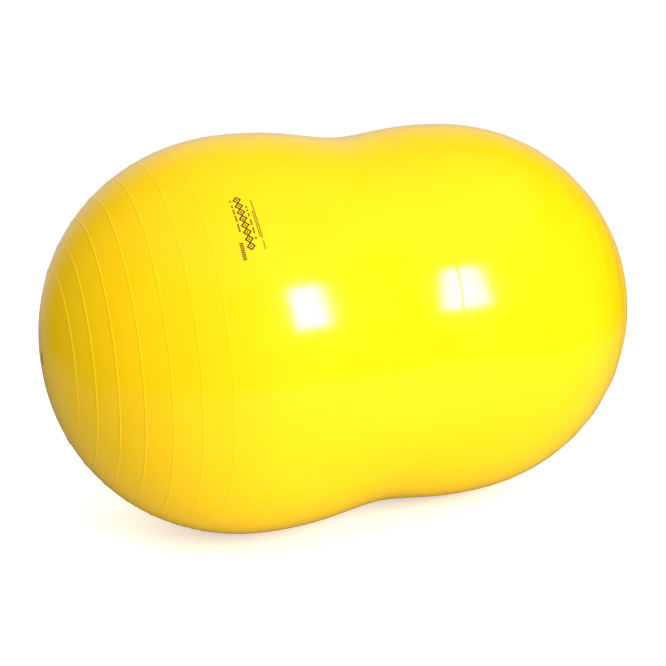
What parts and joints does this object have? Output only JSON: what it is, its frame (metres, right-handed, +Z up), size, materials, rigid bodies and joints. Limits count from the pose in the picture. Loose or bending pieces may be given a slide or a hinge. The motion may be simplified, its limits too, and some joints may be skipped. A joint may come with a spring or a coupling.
{
  "type": "peanut exercise ball",
  "caption": "Inflated two-lobed exercise roll with moulded grip ribs round both ends and a plugged filling valve at one pole.",
  "frame": {"origin": "on the floor, midway between the two lobes", "axes": "+X along the long axis, away from the valve; +Z up; +Y completes the right-handed frame"},
  "size_m": [0.86, 0.55, 0.5484],
  "materials": {
    "shell_pvc": "glossy soft PVC, slightly translucent at the rim",
    "seat_pvc": "satin soft PVC",
    "plug_plastic": "satin moulded plastic"
  },
  "bodies": {
    "ball": {"ball_shell": "shell_pvc", "valve_seat": "seat_pvc"},
    "plug": {"valve_plug": "plug_plastic"}
  },
  "joints": [
    {"name": "plug_pull", "type": "slide", "parent": "ball", "child": "plug", "axis": [-1, 0, 0], "range_m": [0, 0.03]}
  ]
}
